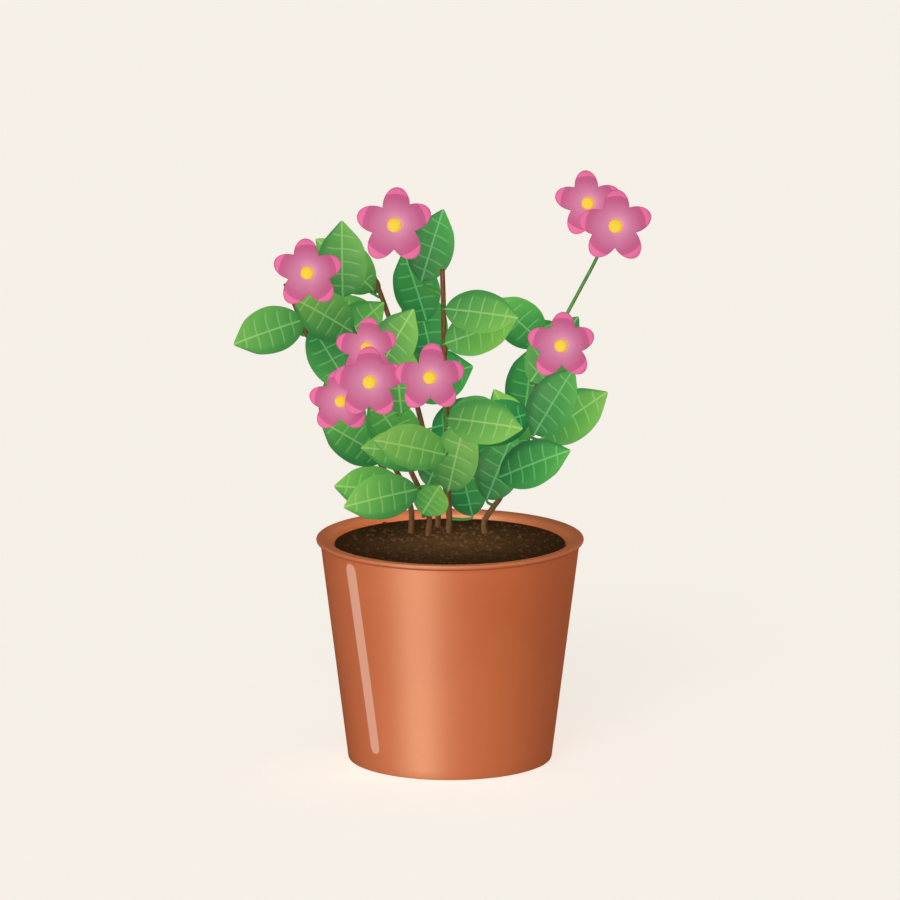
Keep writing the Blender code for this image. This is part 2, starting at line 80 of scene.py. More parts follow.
def gridFaces(items, rows, around):
    # four-cornered faces of items that are each rows rings of points, every ring closed on itself
    row, step = np.meshgrid(np.arange(rows - 1), np.arange(around), indexing="ij")
    a = row * around + step
    b = row * around + (step + 1) % around
    one = np.stack([a, b, b + around, a + around], -1).reshape(-1, 4)
    return (one[None] + np.arange(items)[:, None, None] * rows * around).reshape(-1, 4)


def makePiece(name, batches, material, nodes):
    # one mesh of batches: (points as items x rows x around x 3 in mm, {attribute: values}, uv or None)
    points, faces, spread, total = [], [], [], 0
    fields = sorted({key for batch in batches for key in batch[1]})
    values = {key: [] for key in fields}
    for grid, extra, uv in batches:
        items, rows, around = grid.shape[:3]
        count = items * rows * around
        points.append(grid.reshape(-1, 3))
        faces.append(gridFaces(items, rows, around) + total)
        spread.append(np.zeros((count, 2)) if uv is None else uv.reshape(-1, 2))
        for key in fields:
            values[key].append(np.broadcast_to(extra.get(key, 0.0), grid.shape[:3]).ravel())
        total += count
    points, faces = np.vstack(points) * 0.001, np.vstack(faces)
    mesh = bpy.data.meshes.new(name)
    mesh.vertices.add(len(points))
    mesh.vertices.foreach_set("co", points.astype(np.float32).ravel())
    mesh.loops.add(faces.size)
    mesh.loops.foreach_set("vertex_index", faces.astype(np.int32).ravel())
    mesh.polygons.add(len(faces))
    mesh.polygons.foreach_set("loop_start", np.arange(0, faces.size, 4, dtype=np.int32))
    mesh.update(calc_edges=True)
    for key in fields:
        made = mesh.attributes.new(key, "FLOAT", "POINT")
        made.data.foreach_set("value", np.concatenate(values[key]).astype(np.float32))
    layer = mesh.uv_layers.new(name="surface")
    layer.data.foreach_set("uv", np.vstack(spread)[faces.ravel()].astype(np.float32).ravel())
    shell = bmesh.new()
    shell.from_mesh(mesh)
    bmesh.ops.remove_doubles(shell, verts=shell.verts, dist=2e-6)   # closes the poles
    bmesh.ops.recalc_face_normals(shell, faces=shell.faces)
    shell.to_mesh(mesh)
    shell.free()
    mesh.shade_smooth()
    mesh.materials.append(material)
    piece = bpy.data.objects.new(name, mesh)
    bpy.context.scene.collection.objects.link(piece)
    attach(piece, "root")
    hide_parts(*nodes)
    return piece


# materials

def linear(code):
    # sRGB hex to linear light: ((c + 0.055) / 1.055) ^ 2.4
    parts = np.array([int(code[i:i + 2], 16) for i in (1, 3, 5)]) / 255
    return (*np.where(parts <= 0.04045, parts / 12.92, ((parts + 0.055) / 1.055) ** 2.4), 1.0)


class Finish:
    # one material, and short calls that add a node, join it up and give back what comes out of it

    def __init__(self, name, **sockets):
        self.material = bpy.data.materials.new(name)
        self.material.use_nodes = True
        self.tree = self.material.node_tree
        self.shader = self.tree.nodes["Principled BSDF"]
        for key, value in sockets.items():
            self.shader.inputs[key.replace("_", " ")].default_value = value

    def put(self, socket, value):
        if isinstance(value, bpy.types.NodeSocket):
            self.tree.links.new(value, socket)
        else:
            socket.default_value = value

    def node(self, kind, inputs=(), **settings):
        made = self.tree.nodes.new(kind)
        for key, value in settings.items():
            setattr(made, key, value)
        for key, value in dict(inputs).items():
            self.put(made.inputs[key], value)
        return made

    def sum(self, operation, *values):
        made = self.node("ShaderNodeMath", operation=operation)
        for socket, value in zip(made.inputs, values):
            self.put(socket, value)
        return made.outputs[0]

    def mapped(self, value, low, high, start=0.0, end=1.0, smooth=True):
        made = self.node("ShaderNodeMapRange", interpolation_type="SMOOTHSTEP" if smooth else "LINEAR")
        for socket, part in zip(made.inputs, (value, low, high, start, end)):
            self.put(socket, part)
        return made.outputs[0]

    def mix(self, factor, a, b, blend="MIX"):
        made = self.node("ShaderNodeMix", data_type="RGBA", blend_type=blend)
        self.put(made.inputs[0], factor)
        self.put(made.inputs[6], linear(a) if isinstance(a, str) else a)
        self.put(made.inputs[7], linear(b) if isinstance(b, str) else b)
        return made.outputs[2]

    def attribute(self, name):
        return self.node("ShaderNodeAttribute", attribute_name=name).outputs["Fac"]

    def place(self):
        return self.node("ShaderNodeTexCoord").outputs["Object"]

    def noise(self, scale, detail=3.0, rough=0.5, vector=None):
        return self.node("ShaderNodeTexNoise", {"Vector": vector or self.place(), "Scale": scale,
                                                "Detail": detail, "Roughness": rough}).outputs["Fac"]

    def ramp(self, factor, stops):
        made = self.node("ShaderNodeValToRGB", {"Fac": factor})
        marks = made.color_ramp.elements
        while len(marks) < len(stops):
            marks.new(0.5)
        for mark, (where, code) in zip(marks, stops):
            mark.position = where
            mark.color = linear(code)
        return made.outputs["Color"]

    def bump(self, height, distance, strength):
        made = self.node("ShaderNodeBump", {"Height": height, "Distance": distance, "Strength": strength})
        return made.outputs["Normal"]

    def done(self, **sockets):
        for key, value in sockets.items():
            self.put(self.shader.inputs[key.replace("_", " ")], value)
        return self.material


# firstVein, veinStep and veinLean are shares of the blade's length, veinEnd and veinSoft of its half width;
# veinWide, midribWide and bladeLong are mm
leafLook = dict(
    greens=((0.0, "#256b39"), (0.25, "#3a8a48"), (0.5, "#4f9f4f"), (0.75, "#6fba57"), (1.0, "#8dd062")),
    veins=((0.1, "#6fbd7c"), (0.5, "#8fd07c"), (0.9, "#b0e384")), cooler="#ceffff", mottle=0.1,
    firstVein=0.16, veinStep=0.1675, veinLean=0.06, veinEnd=0.82, veinSoft=0.22, sideStrong=0.55,
    midribStrong=0.8, veinWide=0.57, midribWide=0.64, bladeLong=38.0)


def leafSurface():
    # colour: a ramp of greens read at the leaf's tone with its painted shade, then paler veins, then a cooler
    # cast. A side vein is where the share along the blade, plus its lean, is whole steps from the first vein
    look = leafLook
    f = Finish("leafSurface", Roughness=0.62, Specular_IOR_Level=0.15)
    shade, along, span = f.attribute("shade"), f.attribute("along"), f.attribute("span")
    across = f.attribute("across")
    mottle = f.sum("MULTIPLY", f.sum("SUBTRACT", f.noise(90.0), 0.5), look["mottle"])
    tone = f.sum("ADD", shade, mottle)
    away = f.sum("ABSOLUTE", span)
    lean = f.sum("MULTIPLY", f.sum("MULTIPLY", span, away), look["veinLean"])
    past = f.sum("SUBTRACT", f.sum("ADD", along, lean), look["firstVein"])
    turns = f.sum("DIVIDE", past, look["veinStep"])
    off = f.sum("ABSOLUTE", f.sum("SUBTRACT", turns, f.sum("ROUND", turns)))
    distance = f.sum("MULTIPLY", off, look["veinStep"] * look["bladeLong"])
    line = f.mapped(distance, look["veinWide"] * 0.35, look["veinWide"], 1.0, 0.0)
    ends = f.mapped(away, look["veinEnd"] - look["veinSoft"], look["veinEnd"], 1.0, 0.0)
    first = f.mapped(turns, -0.5, -0.4)   # five side veins, from the first to the fifth
    last = f.mapped(turns, 4.4, 4.5, 1.0, 0.0)
    side = f.sum("MULTIPLY", f.sum("MULTIPLY", line, ends), f.sum("MULTIPLY", first, last))
    middle = f.mapped(f.sum("ABSOLUTE", across), look["midribWide"] * 0.45, look["midribWide"], 1.0, 0.0)
    veins = f.sum("MAXIMUM", f.sum("MULTIPLY", side, look["sideStrong"]),
                  f.sum("MULTIPLY", middle, look["midribStrong"]))
    colour = f.mix(veins, f.ramp(tone, look["greens"]), f.ramp(tone, look["veins"]))
    colour = f.mix(f.attribute("cool"), colour, look["cooler"], "MULTIPLY")
    relief = f.sum("ADD", veins, f.sum("MULTIPLY", f.noise(700.0, 2.0), 0.25))
    rough = f.mapped(f.noise(160.0), 0.3, 0.7, 0.56, 0.68)
    return f.done(Base_Color=colour, Roughness=rough, Normal=f.bump(relief, 0.0002, 0.5))


stalkLook = dict(greens=((0.3, "#3f8a42"), (0.7, "#6bb255")))
barkLook = dict(browns=((0.3, "#593820"), (0.5, "#76502f"), (0.75, "#8f6a42")), squeeze=0.15)


def stalkSurface():
    # two greens by a soft noise
    f = Finish("stalkSurface", Roughness=0.55, Specular_IOR_Level=0.3)
    colour = f.ramp(f.noise(60.0), stalkLook["greens"])
    return f.done(Base_Color=colour, Normal=f.bump(f.noise(900.0), 0.0002, 0.3))


def barkSurface():
    # brown with lengthwise streaks: noise read on places squeezed upwards
    f = Finish("barkSurface", Roughness=0.8, Specular_IOR_Level=0.2)
    squeezed = f.node("ShaderNodeMapping", {"Vector": f.place(), "Scale": (1.0, 1.0, barkLook["squeeze"])})
    streak = f.noise(900.0, 4.0, 0.6, squeezed.outputs[0])
    colour = f.ramp(streak, barkLook["browns"])
    return f.done(Base_Color=colour, Normal=f.bump(streak, 0.0004, 0.6))


# tipFrom and the tip's soft edge are shares of the bloom's radius
petalLook = dict(pinks=((0.18, "#e199bf"), (0.42, "#d57da6"), (0.68, "#ca6493"), (0.8, "#cd5e91")),
                 tip="#f274ad", margin="#b84f80", stripe="#e39abf", tipFrom=0.80, tipSoft=0.03,
                 marginStrong=0.35, stripeStrong=0.12)
eyeLook = dict(golds=((0.2, "#ffe84c"), (0.75, "#ffe039"), (1.0, "#fbd662")), grain=1500.0, outward=0.35)


def petalSurface():
    # colour by the share out from the middle, then bright pink past the tip circle, a darker margin, and
    # faint stripes that run outwards: noise that changes fast across a petal and slowly along it
    look = petalLook
    f = Finish("petalSurface", Roughness=0.6, Specular_IOR_Level=0.25, Sheen_Weight=0.1)
    out, around, edge = f.attribute("out"), f.attribute("petalAcross"), f.attribute("edge")
    soft = f.sum("ADD", out, f.sum("MULTIPLY", f.sum("SUBTRACT", f.noise(120.0), 0.5), 0.06))
    body = f.ramp(soft, look["pinks"])
    tip = f.mapped(out, look["tipFrom"], look["tipFrom"] + look["tipSoft"])
    colour = f.mix(tip, body, look["tip"])
    margin = f.sum("MULTIPLY", f.mapped(edge, 0.94, 1.0), look["marginStrong"])
    colour = f.mix(margin, colour, look["margin"])
    stripes = f.noise(1.0, 2.0, 0.5, f.node("ShaderNodeCombineXYZ", {
        "X": f.sum("MULTIPLY", around, 26.0), "Y": f.sum("MULTIPLY", out, 3.0)}).outputs[0])
    stripe = f.sum("MULTIPLY", f.mapped(stripes, 0.45, 0.75), look["stripeStrong"])
    colour = f.mix(stripe, colour, look["stripe"])
    return f.done(Base_Color=colour, Normal=f.bump(stripes, 0.0002, 0.5))


def eyeSurface():
    # small grains: lemon to gold with the distance from a grain's middle and from the eye's
    f = Finish("eyeSurface", Roughness=0.6, Specular_IOR_Level=0.25)
    cells = f.node("ShaderNodeTexVoronoi", {"Vector": f.place(), "Scale": eyeLook["grain"]})
    grains = cells.outputs["Distance"]
    outward = f.sum("MULTIPLY", f.attribute("out"), eyeLook["outward"])
    colour = f.ramp(f.sum("ADD", grains, outward), eyeLook["golds"])
    return f.done(Base_Color=colour, Normal=f.bump(grains, 0.0003, 0.4))


# lip is a painted highlight on the rim's top, from lipFrom to lipFull mm up. The glazed stripe, also a painted
# highlight in its paler colour: half its width and the heights of its two ends in mm, degrees left of the
# front there
clayLook = dict(light="#d17246", dark="#ca6a3f", speck="#b75d35", lip="#e3a888", glazed="#e08c62",
                speckStrong=0.2, lipStrong=0.12, lipFrom=115.5, lipFull=117.0,
                stripeHalf=3.6, stripeHigh=(14.2, 109.8), stripeLeft=(45.2, 50.2), stripeRadius=62.0)


def clay():
    # fired clay: warm orange brown with fine grain and faint turning lines, and one glazed stripe down the
    # left of the front: places nearer to the stripe's middle line than half its width carry a coat, and a
    # paler colour that is a painted highlight. The lip's top is painted paler, a painted highlight. The
    # distance is the root of (turn from the line * radius) squared plus (height past its end) squared
    look = clayLook
    f = Finish("firedClay", Roughness=0.5, Specular_IOR_Level=0.3, Coat_Roughness=0.12, Coat_IOR=2.2)
    place = f.place()
    cloud = f.noise(9.0, 3.0, 0.5, place)
    grain = f.noise(900.0, 3.0, 0.6, place)
    x, y, height = f.node("ShaderNodeSeparateXYZ", {"Vector": place}).outputs
    lines = f.noise(1.0, 3.0, 0.6, f.node("ShaderNodeCombineXYZ", {
        "Z": f.sum("MULTIPLY", height, 900.0), "X": f.sum("MULTIPLY", cloud, 2.0)}).outputs[0])
    colour = f.mix(f.mapped(cloud, 0.35, 0.65), look["dark"], look["light"])
    specks = f.sum("MULTIPLY", f.mapped(grain, 0.55, 0.75), look["speckStrong"])
    colour = f.mix(specks, colour, look["speck"])
    relief = f.sum("ADD", f.sum("MULTIPLY", grain, 0.5), lines)
    low, high = (part / 1000 for part in look["stripeHigh"])
    turn = f.sum("ARCTAN2", f.sum("MULTIPLY", x, -1.0), f.sum("MULTIPLY", y, -1.0))
    middle = f.mapped(height, low, high, *np.radians(look["stripeLeft"]), smooth=False)
    beside = f.sum("MULTIPLY", f.sum("SUBTRACT", turn, middle), look["stripeRadius"] / 1000)
    beyond = f.sum("MAXIMUM", f.sum("SUBTRACT", low, height), f.sum("SUBTRACT", height, high))
    beyond = f.sum("MAXIMUM", beyond, 0.0)
    off = f.sum("SQRT", f.sum("ADD", f.sum("MULTIPLY", beside, beside), f.sum("MULTIPLY", beyond, beyond)))
    edge = look["stripeHalf"] / 1000
    glazeAndPaintedHighlight = f.mapped(off, edge - 0.0004, edge + 0.0002, 1.0, 0.0)
    # painted highlight: the lip's top is paler
    paintedLipHighlight = f.mapped(height, look["lipFrom"] / 1000, look["lipFull"] / 1000)
    colour = f.mix(f.sum("MULTIPLY", paintedLipHighlight, look["lipStrong"]), colour, look["lip"])
    # painted highlight: the stripe's paler colour; its coat is real gloss
    colour = f.mix(glazeAndPaintedHighlight, colour, look["glazed"])
    return f.done(Base_Color=colour, Coat_Weight=glazeAndPaintedHighlight, Normal=f.bump(relief, 0.0001, 0.25))


earthLook = dict(browns=((0.3, "#62432a"), (0.5, "#704e32"), (0.72, "#7f5a3b")), paintedEdgeShade="#3d2513",
                 paleMiddle=(0.0, 0.01, 0.115), edgeShadeFrom=0.005, edgeShadeFull=0.066)


def earth():
    # browns by crumbs of noise, darker with the distance from a pale middle, in m: painted shade towards the
    # pot's wall
    look = earthLook
    f = Finish("pottingSoil", Roughness=0.95, Specular_IOR_Level=0.15)
    place = f.place()
    crumbs = f.noise(260.0, 5.0, 0.65, place)
    colour = f.ramp(crumbs, look["browns"])
    far = f.node("ShaderNodeVectorMath", {0: place, 1: look["paleMiddle"]}, operation="DISTANCE")
    # painted shade: darker towards the pot's wall
    paintedEdgeShade = f.mapped(far.outputs["Value"], look["edgeShadeFrom"], look["edgeShadeFull"])
    colour = f.mix(paintedEdgeShade, colour, look["paintedEdgeShade"])
    return f.done(Base_Color=colour, Normal=f.bump(crumbs, 0.0015, 0.45))


leafMaterial, stalkMaterial, barkMaterial = leafSurface(), stalkSurface(), barkSurface()
petalMaterial, eyeMaterial, clayMaterial, soilMaterial = petalSurface(), eyeSurface(), clay(), earth()
print("materials made")


# pot and soil: mm, and radii from the pot's axis

pot = dict(high=118.0, rim=70.0, rimHigh=4.0, rimWall=9.0, bodyTop=67.4, base=53.5, wall=6.5, floor=8.0,
           steps=180, drain=4.0, drainPlace=24.0, drains=3)
soil = dict(top=114.5, gap=0.3, bump=0.9, rings=90, steps=240, crumbs=420, crumbSmall=0.5, crumbMore=1.0,
            seed=7)


def innerRadius(height):
    # straight from the floor's edge to the foot of the rim's inner side
    low = pot["base"] - pot["wall"]
    share = (height - pot["floor"]) / (pot["high"] - pot["floor"])
    return low + (pot["rim"] - pot["rimWall"] - low) * share


def turned(profile, steps):
    # each (radius, height) of the profile carried once round the axis
    angle = np.arange(steps) / steps * math.tau
    radius, height = profile[:, :1], profile[:, 1:]
    return np.stack([radius * np.cos(angle), radius * np.sin(angle), height + 0 * angle], -1)[None]


def makePot():
    # a profile from the middle of the underside up the outside, over the lip and down to the middle of the
    # floor, turned round the axis; then the drain holes are cut through the floor
    p = pot
    under, rim, top, base = p["high"] - p["rimHigh"], p["rim"], p["high"], p["base"]
    lipFoot = top - 3.4
    bodyTop = base + (p["bodyTop"] - base) * lipFoot / (under - 2)
    lip = np.array([(bodyTop + 0.06, top - 3), (rim - 1.3, top - 2.6), (rim - 0.35, top - 1.9),
                    (rim, top - 1.1), (rim - 0.2, top - 0.4), (rim - 1, top), (rim - 3.5, top + 0.1),
                    (rim - 6, top - 0.5), (rim - 7.8, top - 1.7), (rim - p["rimWall"] + 0.2, top - 3.2)])
    lip3 = np.column_stack([lip[:, 0], 0 * lip[:, 0], lip[:, 1]])
    lip = smoothLine(lip3, 6)[:, [0, 2]]
    body = np.column_stack([np.linspace(base, bodyTop, 24), np.linspace(1, lipFoot, 24)])
    low = innerRadius(p["floor"])
    inside = np.column_stack([np.linspace(rim - p["rimWall"], low, 16),
                              np.linspace(top - 4, p["floor"], 16)])
    profile = np.vstack([[(0, 0), (base - 3, 0), (base - 1, 0), (base - 0.3, 0.3)], body, lip, inside,
                         [(0, p["floor"])]])
    grid = turned(profile, p["steps"])
    piece = makePiece("pot_clay", [(grid, {}, None)], clayMaterial, ["pot"])
    for drain in range(p["drains"]):
        angle = math.tau * drain / p["drains"] + math.pi / 2
        spot = np.array([math.cos(angle), math.sin(angle), 0]) * p["drainPlace"]
        bpy.ops.mesh.primitive_cylinder_add(vertices=48, radius=p["drain"] / 1000, depth=0.03,
                                            location=(spot[0] / 1000, spot[1] / 1000, 0.004))
        cutter = bpy.context.object
        hole = piece.modifiers.new("drain", "BOOLEAN")
        hole.operation, hole.object, hole.solver = "DIFFERENCE", cutter, "EXACT"
        bpy.context.view_layer.update()
        cut = piece.evaluated_get(bpy.context.evaluated_depsgraph_get())
        cutMesh = bpy.data.meshes.new_from_object(cut)
        piece.modifiers.clear()
        piece.data = cutMesh
        bpy.data.objects.remove(cutter, do_unlink=True)
    piece.data.set_sharp_from_angle(angle=math.radians(40))
    return piece


def soilHeight(x, y):
    # slow swells, then finer crumbs as sums of sines that don't line up
    swell = np.sin(0.31 * x + 1.3) * np.cos(0.27 * y - 0.6) + np.sin(0.53 * (x - y))
    crumb = np.sin(1.9 * x + np.sin(1.1 * y) * 2) * np.sin(2.3 * y + np.sin(0.9 * x) * 2)
    fine = np.sin(4.7 * x + np.sin(3.1 * y) * 2) * np.sin(5.3 * y + np.sin(2.9 * x) * 2)
    return soil["bump"] * (0.35 * swell + 0.25 * crumb + 0.15 * fine)


def makeSoil():
    # a profile up beside the pot's wall and in to the axis, turned, with its top raised by soilHeight
    s = soil
    edge = pot["rim"] - pot["rimWall"] - s["gap"] - 0.35
    low = pot["floor"] + s["gap"]
    lower = np.array([(0, low), (innerRadius(low) - s["gap"], low), (innerRadius(60) - s["gap"], 60),
                      (edge, s["top"] - 1)])
    upper = np.column_stack([edge * np.linspace(1, 0, s["rings"]), np.full(s["rings"], s["top"])])
    grid = turned(np.vstack([lower, upper]), s["steps"])
    radius = np.hypot(grid[..., 0], grid[..., 1])
    inside = np.clip((edge - radius) / 3, 0, 1) * (grid[..., 2] > s["top"] - 0.5)
    grid[..., 2] += inside * soilHeight(grid[..., 0], grid[..., 1])
    # crumbs: small rough balls strewn over the top, half sunk. Each ball is six rings of eight points
    draw = np.random.default_rng(s["seed"])
    far, turn = np.sqrt(draw.random(s["crumbs"])) * (edge - 3), draw.random(s["crumbs"]) * math.tau
    size = s["crumbSmall"] + s["crumbMore"] * draw.random(s["crumbs"]) ** 2
    x, y = far * np.cos(turn), far * np.sin(turn)
    middle = np.column_stack([x, y, s["top"] + soilHeight(x, y) + size * 0.2])
    height = np.linspace(-math.pi / 2, math.pi / 2, 6)[:, None]
    angle = np.arange(8)[None] / 8 * math.tau
    high = np.sin(height) * 0.8 + 0 * angle
    ball = np.stack([np.cos(height) * np.cos(angle), np.cos(height) * np.sin(angle), high], -1)
    lump = 1 + 0.3 * (draw.random((s["crumbs"], 6, 8)) - 0.5)
    lump[:, 0], lump[:, -1] = 1, 1
    balls = middle[:, None, None] + ball[None] * (size[:, None, None] * lump)[..., None]
    makePiece("soil_crumbs", [(grid, {}, None), (balls, {}, None)], soilMaterial, ["soil"])


potPiece = makePot()
makeSoil()
print("pot and soil made")


# stems, leaves and stalks: spots are (across, rise, depth) in mm as placeSpots reads them. A leaf is its
# foot, its tip, its width and its tone

# mm; shoot and stalk are the radii of the side shoot and the tall stalk, from foot to end
stemLook = dict(buried=9.0, sides=14, steps=7, stalkSides=12, shoot=(1.2, 0.9), stalk=(1.0, 0.85))

stems = dict(
    stem_far_left=dict(
        line=((-13.5, 115, 27), (-20.5, 131, 24), (-28, 150, 21), (-51, 184.5, 17), (-73, 218, 14),
              (-80.5, 235, 12), (-86, 247.5, 10)), wide=(1.6, 1.1),
        shoot=((-25, 144, 22.5), (-33.5, 150, 21), (-42, 160.5, 20), (-49, 172, 19), (-53.5, 181.5, 16)),
        leaves=(((-75.8, 229, 8), (-113, 216, 2), 25, "calm"),
                ((-64.5, 210.5, 23), (-34.5, 238, 24), 24, "mid"),
                ((-72.5, 226, 9), (-51.5, 191.5, 8), 24, "low"),
                ((-33.5, 155.8, 12), (-67.5, 175.8, 10), 24, "green"),
                ((-50, 162.5, 24), (-63.5, 200.5, 23), 24, "green"),
                ((-22, 138.5, 17), (-60.5, 142, 14), 24, "fresh")),
        rear=(((-75.8, 220.8, 18), (-100, 221.8, 44), 22), ((-62.5, 203.5, 19), (-59, 221, 46), 23),
              ((-40.5, 168, 22), (-55, 168, 50), 23), ((-25, 141, 26), (-37.5, 141, 56), 23))),
    stem_left=dict(
        line=((-6.5, 114.5, 20), (-11.5, 130.5, 19), (-20.5, 150, 18), (-32.5, 178.5, 17),
              (-50, 222, 13), (-58, 240.5, 11.5), (-60.5, 246.5, 11)), wide=(1.6, 1.1),
        leaves=(((-50.2, 222, 2), (-82, 240.3, -4), 25.5, "fresh"),
                ((-56, 240, 8), (-56.5, 280.5, 0), 26, "mid"),
                ((-16, 140.5, 10), (-55.5, 131, 4), 24, "bright"),
                ((-19.3, 156, 13), (-42, 189.5, 6), 27, "mid"),
                ((-25.2, 179, 4), (-29.5, 219, 12), 24.5, "bright"),
                ((-38.5, 200, 4), (-19, 234.5, 0), 24, "fresh"),
                ((-15, 126.5, 12), (-5.2, 142.2, 18), 20, "lime")),
        rear=()),
    stem_inner_left=dict(
        line=((-2.5, 119, 40), (-6.5, 131, 37), (-10, 150, 34), (-15.5, 177.5, 32),
              (-24, 206.5, 31), (-32.5, 232, 31), (-38.5, 248.5, 29), (-41.5, 255.5, 27)), wide=(1.6, 1.2),
        leaves=(((-39.5, 244, 16), (-70, 271, 10), 24, "lime"),
                ((-38.5, 234.5, 31), (-75, 223.5, 31), 24, "bright"),
                ((-12.2, 141.3, 31), (4, 177.3, 30), 24, "dusk"),
                ((-23.5, 193, 25), (12, 204.6, 23), 29, "deep"),
                ((-10.3, 172, 25), (27.7, 181.7, 22), 22.5, "deep")),
        rear=(((-39.5, 242, 33), (-58, 255.5, 58), 22), ((-24, 205.5, 34), (-27, 220.5, 62), 23),
              ((-13.5, 166, 36), (-26, 160.5, 66), 23))),
    stem_centre=dict(
        line=((0, 117.5, 30), (-0.5, 130.5, 26), (-1, 139, 24), (-1.5, 171, 17), (-2, 187, 14),
              (-3, 215.5, 9), (-3.5, 239, 7), (-4, 255, 6)), wide=(1.7, 1.3),
        leaves=(((-15, 248.5, 15), (-3.5, 286.5, 10), 24, "deep"),
                ((-3.5, 234.6, -4), (35.7, 229.7, -8), 23.2, "bright"),
                ((-3.5, 216, 2), (34.5, 228.5, -1), 24, "lime"),
                ((-2, 177.5, -6), (38, 172, -11), 24, "lime"),
                ((-1, 139, 5), (8.5, 178.5, -3), 24, "lime"),
                ((-1.5, 158, -4), (-40, 166, -11), 24, "pale"),
                ((-7, 157.8, 5), (-46.5, 162, -2), 22, "bright"),
                ((-2, 172, 6), (28.5, 182, 3), 24, "lime")),
        rear=()),
    stem_back=dict(
        line=((0, 121, 48), (-0.5, 130.5, 46), (-1, 150, 43), (-1.5, 171, 41), (-2, 187, 39),
              (-5.5, 201.5, 37), (-10, 213, 36), (-13, 227.5, 35), (-15, 248.5, 33),
              (-20.5, 261, 31), (-24, 269, 26), (-27, 274, 13)), wide=(1.6, 1.0),
        leaves=(((-12, 227.5, 23), (-24.2, 265, 21), 24, "even"),
                ((-9.2, 208.5, 29), (-18.5, 248, 29), 24, "deep"),
                ((12, 125.5, 39), (2.5, 164.5, 38), 24, "deep")),
        rear=(((-15, 247, 36), (-7.5, 270.5, 60), 23), ((-12.5, 224.5, 39), (-20, 244, 66), 23),
              ((-8.5, 209.5, 40), (2.5, 223.5, 70), 23), ((-0.5, 171, 45), (10.5, 177.5, 74), 23),
              ((-0.5, 145, 47), (2.5, 158, 78), 23))),
    stem_right=dict(
        line=((12.5, 116, 26), (18, 124, 25), (23, 131.5, 24), (27, 137.5, 23), (34.5, 155.5, 21),
              (40.5, 172, 19.5), (44, 189.5, 18), (49.5, 207.5, 15), (54, 213, 6)), wide=(1.7, 1.0),
        stalk=((49.5, 207, 15), (58, 226, 17), (67, 243, 16), (74, 256, 14), (80, 268, 8)),
        leaves=(((49.5, 215.5, 13), (22, 239.5, 12), 24, "shaded"),
                ((41.6, 195.8, 8), (67, 230.5, 6), 24, "turned"),
                ((38.5, 175.5, 23), (43.5, 215, 22), 24, "deep"),
                ((43.7, 168.3, 4), (64.7, 203.5, -2), 24.6, "silver"),
                ((43, 180.5, 10), (7, 168, 5), 24, "deep"),
                ((37.6, 159, 15), (23, 192.5, 13), 21.5, "steep"),
                ((47.2, 166.2, 14), (82.2, 191.1, 10), 25.5, "bright"),
                ((25.3, 146.3, 8), (62.8, 160.7, 0), 24.6, "dusky"),
                ((19, 134.5, 16), (34, 171.5, 9), 24, "deep"),
                ((34.5, 154.5, 26), (9, 174.5, 31.5), 24, "deep")),
        rear=(((45, 191, 22), (49.5, 200, 50), 23), ((40, 168.5, 22), (57.5, 171, 52), 23),
              ((32.5, 151, 26), (26, 158, 56), 23), ((29.5, 143, 27), (47, 150, 52), 23),
              ((55, 218, 20), (38, 229.5, 45), 21))))

# rows along a blade and points across half of it; thick, petiole, reach, back, puff and wave are mm; arch is
# a share of the length and fold of the width; frontLook is degrees above level, and rearLook a direction; a
# drop is how far below a blade's foot its petiole starts
leafShape = dict(rows=46, half=11, thick=0.8, arch=0.05, fold=0.13, petiole=0.85, petioleSides=10, reach=1.2,
                 back=2.0, puff=0.28, wave=0.25, frontLook=24.0, frontDrop=2.5, rearLook=(0.0, 0.35, 0.94),
                 rearDrop=1.5)
# how far along the ramp of greens a leaf of each tone starts and ends, and how cool it is. A tone is partly
# the leaf's own green and partly painted light and shade: leaves that lie in shade are lightened against it,
# and others darkened as if shaded
tones = dict(lime=(0.42, 1.0, 0.0), bright=(0.33, 0.97, 0.0), mid=(0.27, 0.83, 0.2), green=(0.2, 0.8, 0.2),
             deep=(0.07, 0.67, 1.0), shaded=(0.22, 0.84, 0.6), dusk=(0.0, 0.61, 0.7), dusky=(0.0, 0.78, 0.7),
             even=(0.16, 0.6, 0.85), fresh=(0.22, 0.97, 0.0), calm=(0.4, 0.83, 0.1), steep=(0.0, 1.2, 0.0),
             silver=(0.05, 0.88, 1.0), low=(0.08, 0.72, 0.5), turned=(0.55, 0.28, 0.0), pale=(0.55, 1.0, 0.0),
             rear=(0.2, 0.85, 0.2))
# a blade's painted shade from its start to its end tone: at the foot, gained to the tip, gained from the
# shaded to the lit side, and lost on the shaded margin, which starts at a share of the half width
paintedLeafShade = dict(foot=0.12, along=0.75, across=0.2, margin=0.3, marginFrom=0.62)

